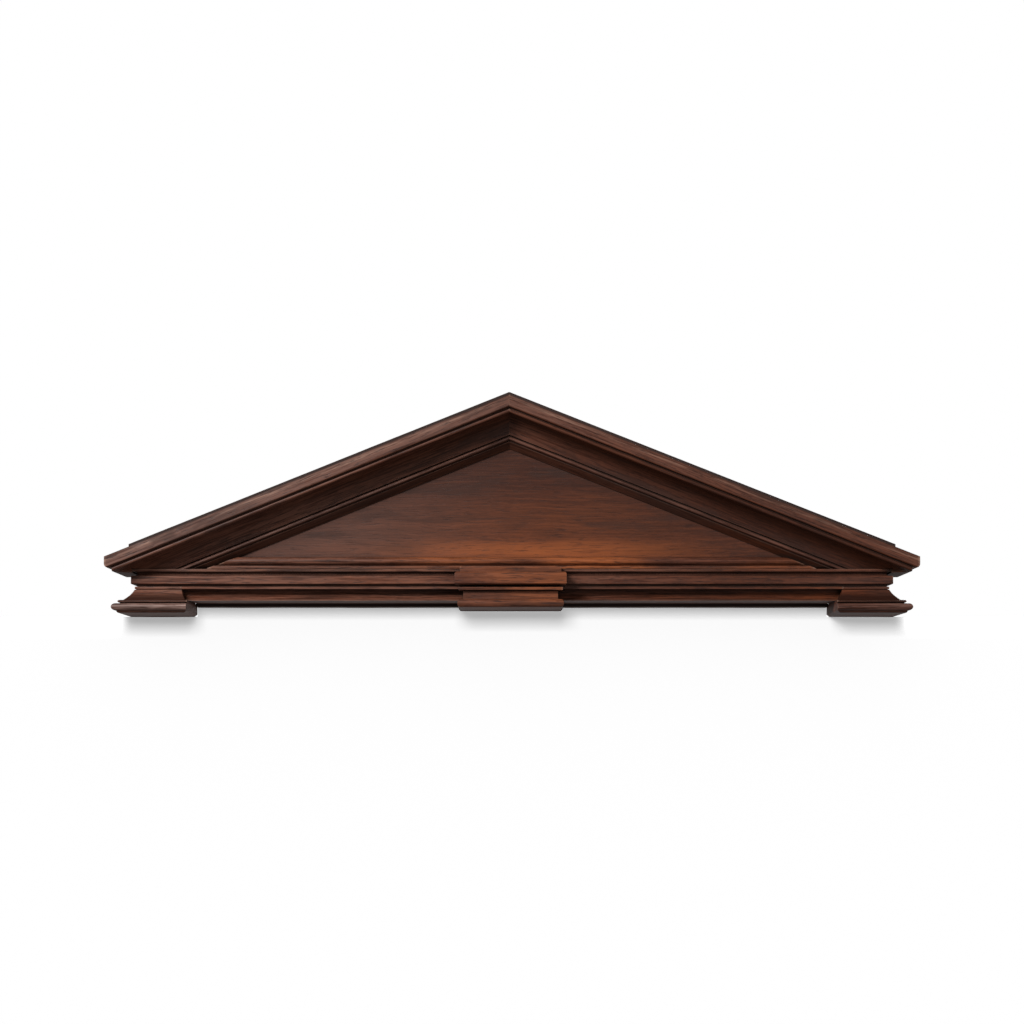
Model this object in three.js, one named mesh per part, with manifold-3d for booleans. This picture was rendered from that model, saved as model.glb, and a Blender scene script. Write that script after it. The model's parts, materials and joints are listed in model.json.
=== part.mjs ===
// A closed triangular pediment in dark mahogany, made to stand over a door or on a cabinet.
// Millimetres, +X to the right, the carved front faces -Y, +Z up.
// The origin is under the middle of the two feet, half way between the wall and the crown's face.
import * as THREE from 'three';
import { mergeVertices } from 'three/addons/utils/BufferGeometryUtils.js';
import Module from 'manifold-3d';

const wasm = await Module();
wasm.setup();

// Overall sizes.
const bodyWidth = 1122;
const bodyDepth = 94;
const crownProjection = 34;
const roofPitchDegrees = 21.87;
const tipHeight = 15.6;
const apexShift = -4;
const jointGap = 0.3;

// Base board: the flat plank that carries everything above it.
const baseBoardThickness = 25.5;
const baseGrooveHeight = 3.1;
const baseGrooveDepth = 8;
const baseFasciaHeight = 12.3;
const baseArris = 1.2;
const scotiaDepth = 8.5;
const scotiaLip = 2.2;
const boardFilletHeight = 3.6;
const boardFilletInset = 2;

// Feet: moulded blocks under both ends.
const footHeight = 39.8;
const footTopWidth = 74.3;
const footInnerShare = 0.5;
const footInnerStep = 11;
const footInnerTaper = 4;
const footFilletHeight = 3.5;
const footFilletInset = 5;
const footQuirkHeight = 1;
const footQuirkDepth = 2;
const footPlinthHeight = 3.4;
const footPlinthProjection = 17.5;
const footPlinthRound = 3;
const torusHeight = 10.5;
const torusProjection = 24.5;
const torusBulge = 6;
const beadHeight = 4.2;
const beadProjection = 16.5;
const beadBulge = 3.4;
const footCavettoProjection = 9.5;
const footCavettoHollow = 1.8;

// Lower cove: the hollow moulding between a foot and the centre bracket.
const coveBottom = 19;
const coveLipHeight = 1.5;
const coveLipInset = 6;
const coveDepth = 15;

// Back rail: the plain strip behind the feet and the coves.
const backRailThickness = 18;
const backRailBottom = 14;

// Centre bracket below the board and centre tablet on its face.
const centreShift = -2;
const bracketBottom = 8;
const bracketSlabHeight = 12.2;
const bracketSlabHalfWidth = 78;
const bracketNeckHeight = 12;
const bracketNeckHalfWidth = 69.5;
const bracketFilletHeight = 4.2;
const bracketFilletHalfWidth = 76.4;
const bracketFilletDrop = 2.1;
const tabletHalfWidth = 82;
const tabletProjection = 24.5;
const tabletBottom = 41.2;
const tabletSlabHeight = 18.9;
const tabletRound = 4;
const tabletCapHeight = 7.6;
const tabletCapHalfWidth = 74.5;

// Tympanum: the triangular board behind the mouldings.
const tympanumInset = 22;
const tympanumThickness = 18;

// Bed mould: the fillet and half-round along the foot of the tympanum.
const bedFilletHeight = 4.4;
const bedFilletInset = 1;
const bedQuirkHeight = 0.5;
const bedQuirkInset = 14;
const halfRoundHeight = 13.3;
const halfRoundInset = 6;

// Raking crown: its heights are measured square to the slope.
const crownFasciaHeight = 16.6;
const crownFasciaRound = 2.4;
const crownGrooveHeight = 1.6;
const crownGrooveDepth = 6.5;
const crownBeadHeight = 5.6;
const crownBeadBulge = 2.8;
const crownCavettoHeight = 26.3;
const crownCavettoFoot = 8;

// Raking bed mould under the crown.
const rakeQuirkHeight = 1.3;
const rakeQuirkInset = 12;
const rakeBeadHeight = 6.2;
const rakeBeadBulge = 5.5;
const rakeSplayHeight = 8.8;
const rakeSplayInset = 9.5;
const rakeSplayFoot = 2;

// Crown returns at both tips.
const returnRoundWidth = 5;
const returnRoundHeight = 6;
const returnStepWidth = 11;
const returnStepHeight = 5;
const returnSoffitDrop = 5.8;
const returnInnerOverlap = 16;

// Roof boards lie on the crown and stop short of its tips.
const roofBoardThickness = 4.5;
const roofBoardSetback = 9;

// Number of straight steps in a rounded stretch.
const curveSteps = 8;
const fineSteps = 5;

const bodyHalf = bodyWidth / 2;
const crownHalf = bodyHalf + crownProjection;
const fullDepth = bodyDepth + crownProjection;
const boardBottom = footHeight + jointGap;
const boardTop = boardBottom + baseBoardThickness;
const seat = boardTop + jointGap;
const tipTop = boardTop + tipHeight;
const apexHeight = tipTop + crownHalf * Math.tan(THREE.MathUtils.degToRad(roofPitchDegrees));
const tympanumFront = bodyDepth - tympanumInset;
const mouldingBack = tympanumFront + jointGap;
const crownHeight = crownFasciaHeight + crownGrooveHeight + crownBeadHeight + crownCavettoHeight;
const rakeHeight = rakeQuirkHeight + rakeBeadHeight + rakeQuirkHeight + rakeSplayHeight;
const rakeTop = crownHeight + jointGap;
const rakeFoot = rakeTop + rakeHeight;
const farAway = 4 * crownHalf;

// Y of a face that stands a given distance out from the wall.
const yOut = (out) => fullDepth / 2 - out;

// The apex stands a little to the left, so each side has its own pitch.
// A left-hand piece is made as a right-hand one with the apex on the other side, and mirrored.
function makeSide(apexX) {
  return { apexX, pitch: Math.atan((apexHeight - tipTop) / (crownHalf - apexX)) };
}
const rightSide = makeSide(apexShift);
const leftSide = makeSide(-apexShift);

// Height of the crown's top edge at a distance from the middle.
const crownLine = (side, x) => apexHeight - (x - side.apexX) * Math.tan(side.pitch);

// Points of an elliptical arc; angles in quarter turns.
function arc(cx, cy, rx, ry, from, to, steps = curveSteps) {
  const points = [];
  for (let i = 0; i <= steps; i += 1) {
    const angle = (from + ((to - from) * i) / steps) * (Math.PI / 2);
    points.push([cx + rx * Math.cos(angle), cy + ry * Math.sin(angle)]);
  }
  return points;
}

// A closed geometry as a solid for joining and cutting, turned right side out.
function toSolid(geometry) {
  geometry.deleteAttribute('normal');
  geometry.deleteAttribute('uv');
  const merged = mergeVertices(geometry, 1e-4);
  const place = merged.attributes.position.array;
  const order = Uint32Array.from(merged.index.array);
  const corner = (i) => new THREE.Vector3().fromArray(place, 3 * order[i]);
  let volume = 0;
  for (let i = 0; i < order.length; i += 3) {
    volume += corner(i).dot(corner(i + 1).cross(corner(i + 2)));
  }
  if (volume < 0) order.reverse();
  const vertProperties = Float32Array.from(place);
  return new wasm.Manifold(new wasm.Mesh({ numProp: 3, vertProperties, triVerts: order }));
}

// An outline pushed along a direction: its two axes and the run are given as vectors.
function prism(outline, uAxis, vAxis, run, start = new THREE.Vector3()) {
  const shape = new THREE.Shape(outline.map(([u, v]) => new THREE.Vector2(u, v)));
  const geometry = new THREE.ExtrudeGeometry(shape, { depth: 1, bevelEnabled: false });
  const frame = new THREE.Matrix4().makeBasis(uAxis, vAxis, run).setPosition(start);
  geometry.applyMatrix4(frame);
  return toSolid(geometry);
}

const axisX = new THREE.Vector3(1, 0, 0);
const axisZ = new THREE.Vector3(0, 0, 1);
const outward = new THREE.Vector3(0, -1, 0);

// A strip along X from an outline of [distance out from the wall, height].
function stripAlongX(outline, x0, x1) {
  const start = new THREE.Vector3(x0, yOut(0), 0);
  return prism(outline, outward, axisZ, new THREE.Vector3(x1 - x0, 0, 0), start);
}

// A block running out from the wall from an outline of [x, height].
function blockFromWall(outline, outFrom, outTo) {
  const start = new THREE.Vector3(0, yOut(outFrom), 0);
  return prism(outline, axisX, axisZ, new THREE.Vector3(0, outFrom - outTo, 0), start);
}

// A block with its moulding mitred round the front and both sides.
// Each ring is { z, front, back, left, right }, with front and back measured from the wall.
function mouldedBlock(rings) {
  const positions = [];
  for (const ring of rings) {
    const front = yOut(ring.front);
    const back = yOut(ring.back);
    positions.push(ring.left, front, ring.z, ring.right, front, ring.z);
    positions.push(ring.right, back, ring.z, ring.left, back, ring.z);
  }
  const faces = [0, 2, 1, 0, 3, 2];
  for (let r = 0; r + 1 < rings.length; r += 1) {
    for (let side = 0; side < 4; side += 1) {
      const a = 4 * r + side;
      const b = 4 * r + ((side + 1) % 4);
      faces.push(a, b, b + 4, a, b + 4, a + 4);
    }
  }
  const top = 4 * (rings.length - 1);
  faces.push(top, top + 1, top + 2, top, top + 2, top + 3);
  const geometry = new THREE.BufferGeometry();
  geometry.setAttribute('position', new THREE.Float32BufferAttribute(positions, 3));
  geometry.setIndex(faces);
  return toSolid(geometry);
}

// Everything on one side of a plane, as a large block to cut with.
function halfSpace(normal, distance) {
  const box = new THREE.BoxGeometry(farAway, farAway, farAway);
  box.translate(0, 0, farAway / 2);
  const turn = new THREE.Quaternion().setFromUnitVectors(axisZ, normal.clone().normalize());
  box.applyQuaternion(turn);
  box.translate(...normal.clone().normalize().multiplyScalar(distance).toArray());
  return toSolid(box);
}

// A run along the right-hand slope from an outline of [depth below the crown's top edge, out].
function rakingStrip(side, outline) {
  const slope = new THREE.Vector3(Math.cos(side.pitch), 0, -Math.sin(side.pitch));
  const below = new THREE.Vector3(-Math.sin(side.pitch), 0, -Math.cos(side.pitch));
  const start = new THREE.Vector3(side.apexX, yOut(0), apexHeight).addScaledVector(slope, -crownHalf);
  return prism(outline, below, outward, slope.multiplyScalar(3 * crownHalf), start);
}

// What lies beyond the apex mitre.
function apexCut(side) {
  return halfSpace(axisX.clone().negate(), -side.apexX - jointGap / 2);
}

// Base board

function boardFlares() {
  const grooveTop = boardBottom + baseGrooveHeight;
  const fasciaTop = grooveTop + baseFasciaHeight;
  const filletBase = boardTop - boardFilletHeight;
  const scotiaHeight = filletBase - fasciaTop;
  const middle = fasciaTop + scotiaHeight / 2;
  return [
    [-baseGrooveDepth, boardBottom],
    [-baseGrooveDepth, grooveTop],
    ...arc(-baseArris, grooveTop + baseArris, baseArris, baseArris, -1, 0, fineSteps),
    ...arc(-baseArris, fasciaTop - baseArris, baseArris, baseArris, 0, 1, fineSteps),
    ...arc(-scotiaLip, middle, scotiaDepth - scotiaLip, scotiaHeight / 2, 3, 1),
    [-boardFilletInset, filletBase],
    [-boardFilletInset, boardTop],
  ];
}

function makeBaseBoard() {
  const rings = boardFlares().map(([flare, z]) => ({
    z,
    front: bodyDepth + flare,
    back: 0,
    left: -bodyHalf - flare,
    right: bodyHalf + flare,
  }));
  return mouldedBlock(rings);
}

// Feet

function footFlares() {
  const torusBase = footPlinthHeight;
  const torusTop = torusBase + torusHeight;
  const beadBase = torusTop + footQuirkHeight;
  const beadTop = beadBase + beadHeight;
  const cavettoTop = footHeight - footFilletHeight - footQuirkHeight;
  const torusCore = torusProjection - torusBulge;
  const beadCore = beadProjection - beadBulge;
  const plinthFlat = footPlinthProjection - footPlinthRound;
  const flares = [
    ...arc(plinthFlat, footPlinthHeight, footPlinthRound, footPlinthHeight, -1, 0, fineSteps),
    ...arc(torusCore, torusBase + torusHeight / 2, torusBulge, torusHeight / 2, -1, 1),
    [beadCore, torusTop],
    ...arc(beadCore, beadBase + beadHeight / 2, beadBulge, beadHeight / 2, -1, 1, fineSteps),
  ];
  for (let i = 0; i <= curveSteps; i += 1) {
    const share = i / curveSteps;
    const line = THREE.MathUtils.lerp(footCavettoProjection, -footFilletInset, share);
    const hollow = footCavettoHollow * Math.sin(Math.PI * share);
    flares.push([line - hollow, THREE.MathUtils.lerp(beadTop, cavettoTop, share)]);
  }
  flares.push([-footFilletInset - footQuirkDepth, cavettoTop]);
  flares.push([-footFilletInset - footQuirkDepth, cavettoTop + footQuirkHeight]);
  flares.push([-footFilletInset, cavettoTop + footQuirkHeight]);
  flares.push([-footFilletInset, footHeight]);
  return flares;
}

// The inner side is plain: a flat end up to the bead, and a slight flare beside the cavetto.
function footInnerFlare(flare, z) {
  const beadTop = footPlinthHeight + torusHeight + footQuirkHeight + beadHeight;
  if (z < footPlinthHeight) return footInnerStep - footInnerTaper * (1 - z / footPlinthHeight);
  if (z < beadTop) return footInnerStep;
  return Math.max(0, footInnerShare * (flare + footFilletInset));
}

function makeRightFoot(grow = 0) {
  const rings = footFlares().map(([flare, z]) => {
    const innerFlare = footInnerFlare(flare, z);
    return {
      z,
      front: bodyDepth + flare,
      back: 0,
      left: bodyHalf - footTopWidth - innerFlare - grow,
      right: bodyHalf + flare,
    };
  });
  return mouldedBlock(rings);
}

// Centre bracket and tablet

// Half width and projection step out together, so the mouldings stay mitred.
const tabletFlare = (halfWidth) => tabletProjection - (tabletHalfWidth - halfWidth);

function bracketOutline() {
  const slabTop = bracketBottom + bracketSlabHeight;
  const neckTop = slabTop + bracketNeckHeight;
  const filletTop = footHeight - bracketFilletDrop;
  const filletBase = filletTop - bracketFilletHeight;
  const slabCore = bracketSlabHalfWidth - tabletRound;
  return [
    ...arc(slabCore, bracketBottom + bracketSlabHeight / 2, tabletRound, bracketSlabHeight / 2, -1, 1),
    [bracketNeckHalfWidth, slabTop],
    [bracketNeckHalfWidth, neckTop],
    [bracketNeckHalfWidth - footQuirkDepth, neckTop],
    [bracketNeckHalfWidth - footQuirkDepth, filletBase],
    [bracketFilletHalfWidth, filletBase],
    [bracketFilletHalfWidth, filletTop],
    [bracketNeckHalfWidth - footQuirkDepth, filletTop],
    [bracketNeckHalfWidth - footQuirkDepth, footHeight],
  ];
}

function makeBracket(grow = 0) {
  const rings = bracketOutline().map(([half, z], i, all) => ({
    z,
    front: bodyDepth + (i < all.length - 2 ? tabletFlare(half) : -baseGrooveDepth),
    back: backRailThickness + jointGap,
    left: centreShift - half - grow,
    right: centreShift + half + grow,
  }));
  return mouldedBlock(rings);
}

function makeTablet() {
  const slabTop = tabletBottom + tabletSlabHeight;
  const capTop = slabTop + tabletCapHeight;
  const slabCore = tabletHalfWidth - tabletRound;
  const outline = [
    ...arc(slabCore, tabletBottom + tabletRound / 2, tabletRound, tabletRound / 2, -1, 0, fineSteps),
    ...arc(slabCore, slabTop - tabletRound, tabletRound, tabletRound, 0, 1, fineSteps),
    [tabletCapHalfWidth, slabTop],
    [tabletCapHalfWidth, capTop],
  ];
  const rings = outline.map(([half, z]) => ({
    z,
    front: bodyDepth + tabletFlare(half),
    back: bodyDepth + jointGap,
    left: centreShift - half,
    right: centreShift + half,
  }));
  return mouldedBlock(rings);
}

// Lower coves and back rail

function makeRightCove(shift) {
  const filletBase = footHeight - footFilletHeight;
  const lipOut = bodyDepth - coveLipInset;
  const lipTop = coveBottom + coveLipHeight;
  const backOut = backRailThickness + jointGap;
  const outline = [
    [backOut, coveBottom],
    [lipOut, coveBottom],
    ...arc(lipOut, filletBase, coveDepth, filletBase - lipTop, -1, -2),
    [bodyDepth - footFilletInset, filletBase],
    [bodyDepth - footFilletInset, footHeight],
    [backOut, footHeight],
  ];
  return stripAlongX(outline, 0, bodyHalf)
    .subtract(makeBracket(jointGap).translate([shift - centreShift, 0, 0]))
    .subtract(makeRightFoot(jointGap))
    .subtract(halfSpace(axisX, bodyHalf - footTopWidth - jointGap))
    .subtract(halfSpace(axisX.clone().negate(), -bracketNeckHalfWidth - shift));
}

function makeBackRail() {
  const half = bodyHalf - footTopWidth - footInnerStep - jointGap;
  const outline = [
    [0, backRailBottom],
    [backRailThickness, backRailBottom],
    [backRailThickness, footHeight],
    [0, footHeight],
  ];
  return stripAlongX(outline, -half, half);
}

// Tympanum and its bed mould

function makeTympanum() {
  const half = bodyHalf - returnInnerOverlap - jointGap;
  const outline = [
    [-half, seat],
    [half, seat],
    [half, crownLine(rightSide, half) - jointGap],
    [apexShift, apexHeight - jointGap],
    [-half, crownLine(leftSide, half) - jointGap],
  ];
  return blockFromWall(outline, tympanumFront - tympanumThickness, tympanumFront);
}

function makeBedMould() {
  const filletTop = seat + bedFilletHeight;
  const roundBase = filletTop + bedQuirkHeight;
  const roundCore = bodyDepth - bedQuirkInset;
  const roundBulge = bedQuirkInset - halfRoundInset;
  const outline = [
    [mouldingBack, seat],
    [bodyDepth - bedFilletInset, seat],
    [bodyDepth - bedFilletInset, filletTop],
    [roundCore, filletTop],
    ...arc(roundCore, roundBase + halfRoundHeight / 2, roundBulge, halfRoundHeight / 2, -1, 1),
    [mouldingBack, roundBase + halfRoundHeight],
  ];
  const below = rakeFoot + jointGap;
  const top = roundBase + halfRoundHeight + jointGap;
  const reach = (side, z) => {
    const drop = apexHeight - below / Math.cos(side.pitch) - z;
    return side.apexX + drop / Math.tan(side.pitch);
  };
  const ends = [
    [-reach(leftSide, seat), seat],
    [reach(rightSide, seat), seat],
    [reach(rightSide, top), top],
    [-reach(leftSide, top), top],
  ];
  return stripAlongX(outline, -bodyHalf, bodyHalf).intersect(blockFromWall(ends, 0, fullDepth));
}

// Crown

function crownOutline(backOut) {
  const face = bodyDepth + crownProjection;
  const round = crownFasciaRound;
  const groove = face - crownGrooveDepth;
  const beadTop = crownFasciaHeight + crownGrooveHeight;
  const beadFoot = beadTop + crownBeadHeight;
  const cavettoBack = bodyDepth - crownCavettoFoot;
  return [
    [0, backOut],
    [0, face],
    ...arc(crownFasciaHeight - round, face - round, round, round, 1, 0, fineSteps),
    [crownFasciaHeight, groove],
    [beadTop, groove],
    ...arc(beadTop + crownBeadHeight / 2, groove, crownBeadHeight / 2, crownBeadBulge, 2, 0),
    ...arc(crownHeight, groove - round / 2, crownHeight - beadFoot, groove - round / 2 - cavettoBack, 2, 3),
    [crownHeight, backOut],
  ];
}

// The outline of the tip, seen from the front, that both the crown and its return follow.
function tipOutline(side, innerX) {
  const roundX = crownHalf - returnRoundWidth;
  const boardEdge = bodyHalf - boardFilletInset + jointGap;
  const soffit = seat - returnSoffitDrop;
  const stepTop = soffit + returnStepHeight;
  return [
    [innerX, seat],
    [boardEdge, seat],
    [boardEdge, soffit],
    [crownHalf - returnStepWidth, soffit],
    [crownHalf - returnStepWidth, stepTop],
    ...arc(roundX, stepTop + returnRoundHeight, returnRoundWidth, returnRoundHeight, -1, 0, fineSteps),
    [crownHalf, crownLine(side, crownHalf)],
    [innerX, crownLine(side, innerX)],
  ];
}

// The plan mitre where the crown meets its return: distance out grows with distance from the middle.
const mitreNormal = new THREE.Vector3(1, 1, 0);

function mitreSide(offset) {
  const distance = (bodyHalf + yOut(bodyDepth) + offset) / Math.SQRT2;
  return halfSpace(mitreNormal, distance);
}

function makeCrown(side) {
  return rakingStrip(side, crownOutline(mouldingBack))
    .intersect(blockFromWall(tipOutline(side, side.apexX + jointGap / 2), 0, fullDepth))
    .subtract(mitreSide(-jointGap));
}

function makeReturn(side) {
  const innerX = bodyHalf - returnInnerOverlap;
  const behind = crownOutline(-1);
  behind.splice(behind.length - 1, 1, [farAway, bodyDepth - crownCavettoFoot], [farAway, -1]);
  return blockFromWall(tipOutline(side, innerX), 0, fullDepth)
    .intersect(rakingStrip(side, behind))
    .intersect(mitreSide(jointGap));
}

function makeRakeMould(side) {
  const beadTop = rakeTop + rakeQuirkHeight;
  const beadFoot = beadTop + rakeBeadHeight;
  const quirkOut = bodyDepth - rakeQuirkInset;
  const splayTop = beadFoot + rakeQuirkHeight;
  const splayOut = bodyDepth - rakeSplayInset;
  const footOut = tympanumFront + rakeSplayFoot;
  const outline = [
    [rakeTop, mouldingBack],
    [rakeTop, quirkOut],
    [beadTop, quirkOut],
    ...arc(beadTop + rakeBeadHeight / 2, quirkOut, rakeBeadHeight / 2, rakeBeadBulge, 2, 0),
    [splayTop, quirkOut],
    [splayTop, splayOut],
    [rakeFoot, footOut],
    [rakeFoot, mouldingBack],
  ];
  const seatCut = halfSpace(axisZ.clone().negate(), -seat);
  return rakingStrip(side, outline).subtract(apexCut(side)).subtract(seatCut);
}

function makeRoofBoard(side) {
  const outline = [
    [-jointGap - roofBoardThickness, 0],
    [-jointGap, 0],
    [-jointGap, fullDepth - roofBoardSetback],
    [-jointGap - roofBoardThickness, fullDepth - roofBoardSetback],
  ];
  return rakingStrip(side, outline).subtract(apexCut(side)).subtract(halfSpace(axisX, bodyHalf));
}

// Finished pieces

// Polished mahogany colours, from the reddish mouldings to the raw wood of the hidden back.
const polishedRed = 0x4a2a20;
const polishedDark = 0x33201b;
const polishedOrange = 0x5e3424;
const rawWood = 0x5b4030;

const pediment = new THREE.Group();

function addPiece(name, solid, color, roughness) {
  const mesh = solid.getMesh();
  const geometry = new THREE.BufferGeometry();
  geometry.setAttribute('position', new THREE.BufferAttribute(Float32Array.from(mesh.vertProperties), 3));
  geometry.setIndex(new THREE.BufferAttribute(Uint32Array.from(mesh.triVerts), 1));
  const material = new THREE.MeshStandardMaterial({ color, roughness, metalness: 0, flatShading: true });
  const piece = new THREE.Mesh(geometry, material);
  piece.name = name;
  pediment.add(piece);
}

function addPair(name, right, left, color, roughness) {
  addPiece(`${name}_right`, right, color, roughness);
  addPiece(`${name}_left`, left.mirror([1, 0, 0]), color, roughness);
}

const polishRoughness = 0.38;
const rawRoughness = 0.8;
addPiece('base_board', makeBaseBoard(), polishedRed, polishRoughness);
addPiece('back_rail', makeBackRail(), rawWood, rawRoughness);
addPiece('tympanum_panel', makeTympanum(), polishedOrange, polishRoughness);
addPiece('bed_mould', makeBedMould(), polishedOrange, polishRoughness);
addPiece('centre_bracket', makeBracket(), polishedRed, polishRoughness);
addPiece('centre_tablet', makeTablet(), polishedOrange, polishRoughness);
addPair('foot', makeRightFoot(), makeRightFoot(), polishedDark, polishRoughness);
const rightCove = makeRightCove(centreShift);
const leftCove = makeRightCove(-centreShift);
addPair('lower_cove', rightCove, leftCove, polishedDark, polishRoughness);
addPair('rake_mould', makeRakeMould(rightSide), makeRakeMould(leftSide), polishedDark, polishRoughness);
addPair('rake_crown', makeCrown(rightSide), makeCrown(leftSide), polishedRed, polishRoughness);
addPair('crown_return', makeReturn(rightSide), makeReturn(leftSide), polishedDark, polishRoughness);
addPair('roof_board', makeRoofBoard(rightSide), makeRoofBoard(leftSide), rawWood, rawRoughness);

export default pediment;
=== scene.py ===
# %% [markdown]
# # A mahogany pediment
# A pediment is the triangle that crowns a door or a cabinet. This one is joined from
# eighteen pieces of mahogany. The measured model of the pieces is loaded first and stays
# as it is: everything made here takes its place and size from it.

import json
import math

import bmesh
import bpy
from mathutils import Matrix, Vector, noise

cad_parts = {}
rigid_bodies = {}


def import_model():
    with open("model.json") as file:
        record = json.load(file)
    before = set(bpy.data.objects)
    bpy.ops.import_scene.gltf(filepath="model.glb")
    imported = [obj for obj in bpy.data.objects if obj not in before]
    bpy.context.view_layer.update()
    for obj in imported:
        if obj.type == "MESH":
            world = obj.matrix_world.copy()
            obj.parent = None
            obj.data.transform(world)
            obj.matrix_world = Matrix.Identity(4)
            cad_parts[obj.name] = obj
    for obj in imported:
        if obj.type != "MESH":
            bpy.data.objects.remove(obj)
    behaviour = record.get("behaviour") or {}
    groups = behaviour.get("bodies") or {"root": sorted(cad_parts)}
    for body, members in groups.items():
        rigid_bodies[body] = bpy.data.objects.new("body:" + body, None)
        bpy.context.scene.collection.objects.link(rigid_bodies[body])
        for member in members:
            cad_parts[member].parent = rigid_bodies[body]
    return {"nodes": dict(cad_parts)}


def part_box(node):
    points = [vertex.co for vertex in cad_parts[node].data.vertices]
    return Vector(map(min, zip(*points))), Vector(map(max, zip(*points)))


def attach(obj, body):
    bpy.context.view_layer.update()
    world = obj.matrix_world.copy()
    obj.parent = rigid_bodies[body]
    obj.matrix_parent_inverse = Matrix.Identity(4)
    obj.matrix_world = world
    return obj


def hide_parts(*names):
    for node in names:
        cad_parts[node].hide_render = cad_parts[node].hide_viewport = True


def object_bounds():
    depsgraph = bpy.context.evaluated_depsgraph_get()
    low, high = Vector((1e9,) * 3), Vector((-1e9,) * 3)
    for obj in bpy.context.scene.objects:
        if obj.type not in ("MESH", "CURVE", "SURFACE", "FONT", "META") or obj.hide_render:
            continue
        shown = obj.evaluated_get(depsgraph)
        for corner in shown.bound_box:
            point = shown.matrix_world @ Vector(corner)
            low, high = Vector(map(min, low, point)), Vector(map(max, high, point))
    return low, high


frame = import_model()
cad_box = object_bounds()
low, high = (Vector(corner) for corner in cad_box)
print("measured box in metres", [round(v, 4) for v in (high - low)])

# %% [markdown]
# The slope of the roof sets how the raking mouldings run, and their grain with them. It could
# be typed in, but then it would go wrong as soon as the model changed. It is read off the top
# of each roof board instead: from its highest corner by the apex to the highest corner at its
# outer end. The apex is a little off centre, so each side has its own slope.


# %% Slopes read from the model
def slope_of(node):
    corners = [vertex.co for vertex in frame["nodes"][node].data.vertices]
    peak = max(corners, key=lambda corner: corner.z)
    reach = max(abs(corner.x) for corner in corners)
    outer = [corner for corner in corners if abs(corner.x) > reach - 1e-5]
    end = max(outer, key=lambda corner: corner.z)
    return math.atan2(peak.z - end.z, abs(end.x - peak.x))


pitch = {side: slope_of("roof_board_" + side) for side in ("left", "right")}
print("slopes in degrees", {side: round(math.degrees(angle), 2) for side, angle in pitch.items()})

# %% [markdown]
# ## The camera
# The photograph was taken from straight ahead and from below the feet, so a little of every
# underside shows. How deep the undersides look gives the distance. The lens could be shifted
# upwards to bring the pediment to the middle of the picture. It is tilted instead, because a
# tilt also suits other views.

# %% Camera
PICTURE = 1024
SENSOR = 36.0
camera_distance = 3.200
camera_drop = 0.1823
focal_pixels = 2179.0
tilt = 0.1034
fascia_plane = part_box("base_board")[0][1]


def in_scene(name, data):
    made = bpy.data.objects.new(name, data)
    bpy.context.scene.collection.objects.link(made)
    return made


camera_data = bpy.data.cameras.new("camera")
camera = in_scene("camera", camera_data)
camera_data.sensor_width = SENSOR
camera_data.lens = focal_pixels / PICTURE * SENSOR
camera.location = (0.0, fascia_plane - camera_distance, -camera_drop)
camera.rotation_euler = (math.pi / 2 + tilt, 0.0, 0.0)
bpy.context.scene.camera = camera
print("lens in mm", round(camera_data.lens, 1), "tilt in degrees", round(math.degrees(tilt), 2))

# %% [markdown]
# ## Writing shaders as sums
# A material is a graph of nodes. Building it node by node is long, so a small class wraps a
# socket and lets numbers be added and multiplied as in plain Python: each operator adds the
# Math node that does it. Colours go through one mix method, because a Math node turns a
# colour grey.


# %% Shader helper
class Value:
    def __init__(self, paint, socket):
        self.paint = paint
        self.socket = socket

    def math(self, operation, *others):
        return self.paint.node("Math", {"operation": operation}, [self, *others])

    def __add__(self, other):
        return self.math("ADD", other)

    def __sub__(self, other):
        return self.math("SUBTRACT", other)

    def __mul__(self, other):
        return self.math("MULTIPLY", other)

    def __truediv__(self, other):
        return self.math("DIVIDE", other)

    def __rsub__(self, other):
        return self.paint.node("Math", {"operation": "SUBTRACT"}, [other, self])

    __radd__ = __add__
    __rmul__ = __mul__

    def step(self, start, end):
        settings = {"interpolation_type": "SMOOTHSTEP"}
        inputs = {"Value": self, "From Min": start, "From Max": end}
        return self.paint.node("MapRange", settings, inputs)

    def band(self, rise, fall):
        return self.step(*rise) * (1 - self.step(*fall))


class Paint:
    def __init__(self, name):
        self.material = bpy.data.materials.new(name)
        self.material.use_nodes = True
        self.tree = self.material.node_tree
        self.shader = self.tree.nodes["Principled BSDF"]

    def node(self, kind, settings, inputs, output=0):
        made = self.tree.nodes.new("ShaderNode" + kind)
        for key, value in settings.items():
            setattr(made, key, value)
        pairs = inputs.items() if isinstance(inputs, dict) else enumerate(inputs)
        for key, value in pairs:
            self.feed(made.inputs[key], value)
        return Value(self, made.outputs[output])

    def feed(self, socket, value):
        if isinstance(value, Value):
            self.tree.links.new(value.socket, socket)
        else:
            socket.default_value = value

    # A Mix node has sockets for every kind of data, and these places are those for colours.
    def mix(self, amount, first, second):
        made = self.tree.nodes.new("ShaderNodeMix")
        made.data_type = "RGBA"
        for place, value in ((0, amount), (6, first), (7, second)):
            self.feed(made.inputs[place], value)
        return Value(self, made.outputs[2])

    def axis(self, vector, letter):
        return self.node("SeparateXYZ", {}, [vector], letter)

    def grain(self, coordinates, stretch, detail, roughness, distortion=0.0):
        placed = self.node("Mapping", {}, {"Vector": coordinates, "Scale": stretch})
        inputs = {"Vector": placed, "Scale": 1.0, "Detail": detail}
        inputs["Roughness"] = roughness
        inputs["Distortion"] = distortion
        return self.node("TexNoise", {}, inputs)


print("the shader helper is ready")

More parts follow.
